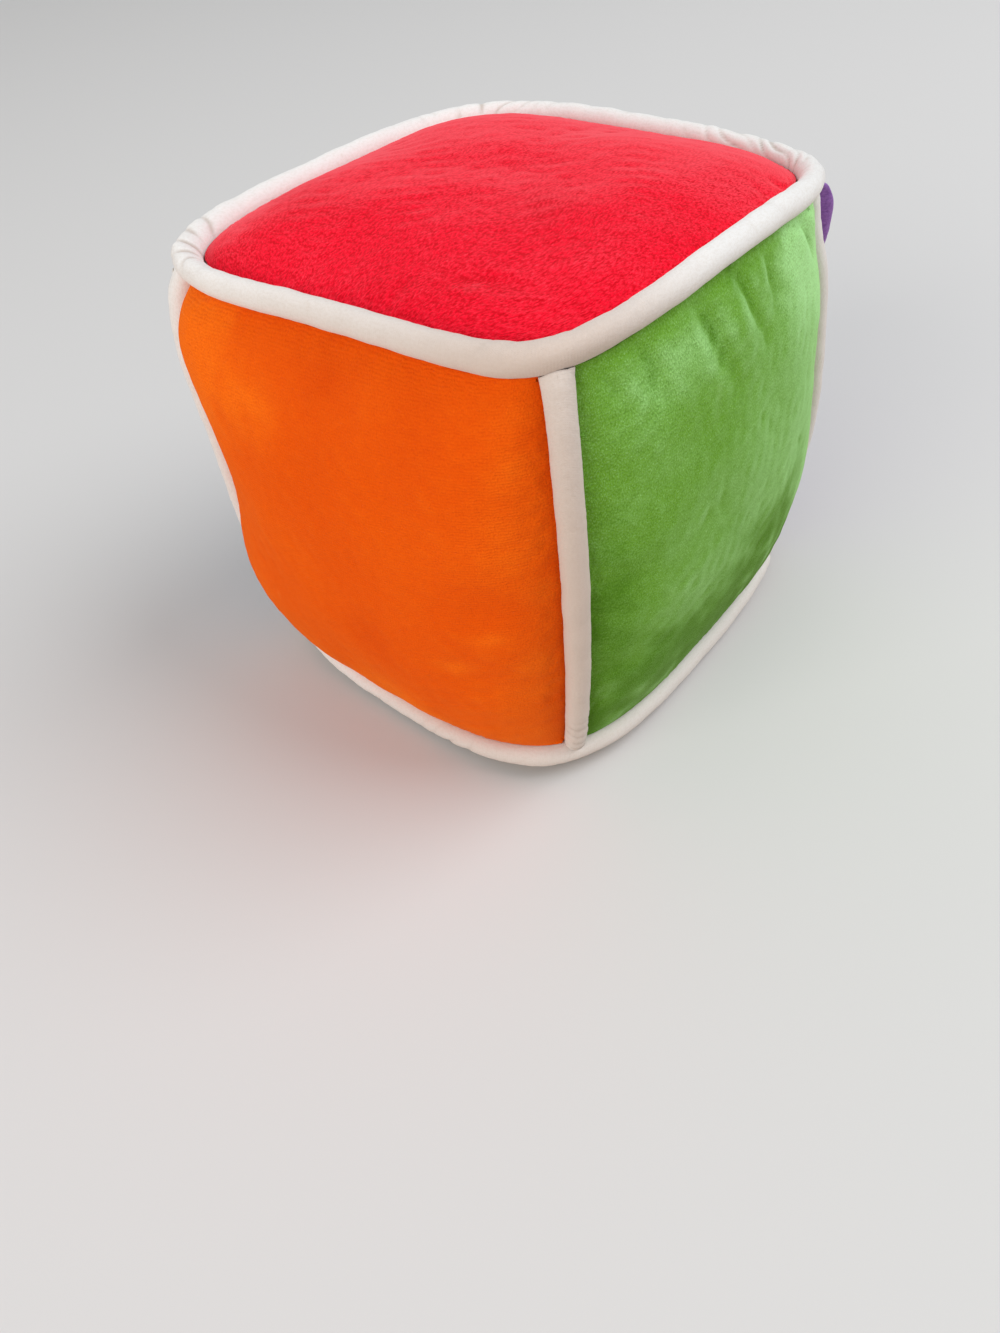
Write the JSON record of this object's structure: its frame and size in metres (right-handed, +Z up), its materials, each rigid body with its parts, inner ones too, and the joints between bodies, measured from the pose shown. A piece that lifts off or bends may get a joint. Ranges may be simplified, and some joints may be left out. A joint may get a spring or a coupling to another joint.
{
  "type": "stuffed toy cube",
  "caption": "Soft stuffed cube in plain coloured plush faces with white corded piping along every edge, resting on a flattened bottom.",
  "frame": {"origin": "middle of the cube's outline, on the floor under its flattened bottom", "axes": "+Z up through the red top, -Y out of the orange front, +X out of the green right side"},
  "size_m": [0.1472, 0.1622, 0.1367],
  "materials": {
    "red_plush": "short pile, matte with a soft sheen",
    "orange_plush": "smooth short pile, matte",
    "green_plush": "short pile, matte with a soft sheen",
    "purple_plush": "short pile, matte",
    "blue_plush": "short pile, matte",
    "yellow_plush": "short pile, matte",
    "white_knit": "off-white matte knit",
    "filler_cord": "soft twisted cotton",
    "fibre_filling": "loose polyester fibre"
  },
  "bodies": {
    "root": {"red_top_face": "red_plush", "yellow_bottom_face": "yellow_plush", "orange_front_face": "orange_plush", "green_right_face": "green_plush", "purple_back_face": "purple_plush", "blue_left_face": "blue_plush", "top_piping_cover": "white_knit", "bottom_piping_cover": "white_knit", "front_right_piping_cover": "white_knit", "back_right_piping_cover": "white_knit", "back_left_piping_cover": "white_knit", "front_left_piping_cover": "white_knit", "top_piping_cord": "filler_cord", "bottom_piping_cord": "filler_cord", "front_right_piping_cord": "filler_cord", "back_right_piping_cord": "filler_cord", "back_left_piping_cord": "filler_cord", "front_left_piping_cord": "filler_cord", "fibre_filling": "fibre_filling"}
  },
  "joints": []
}
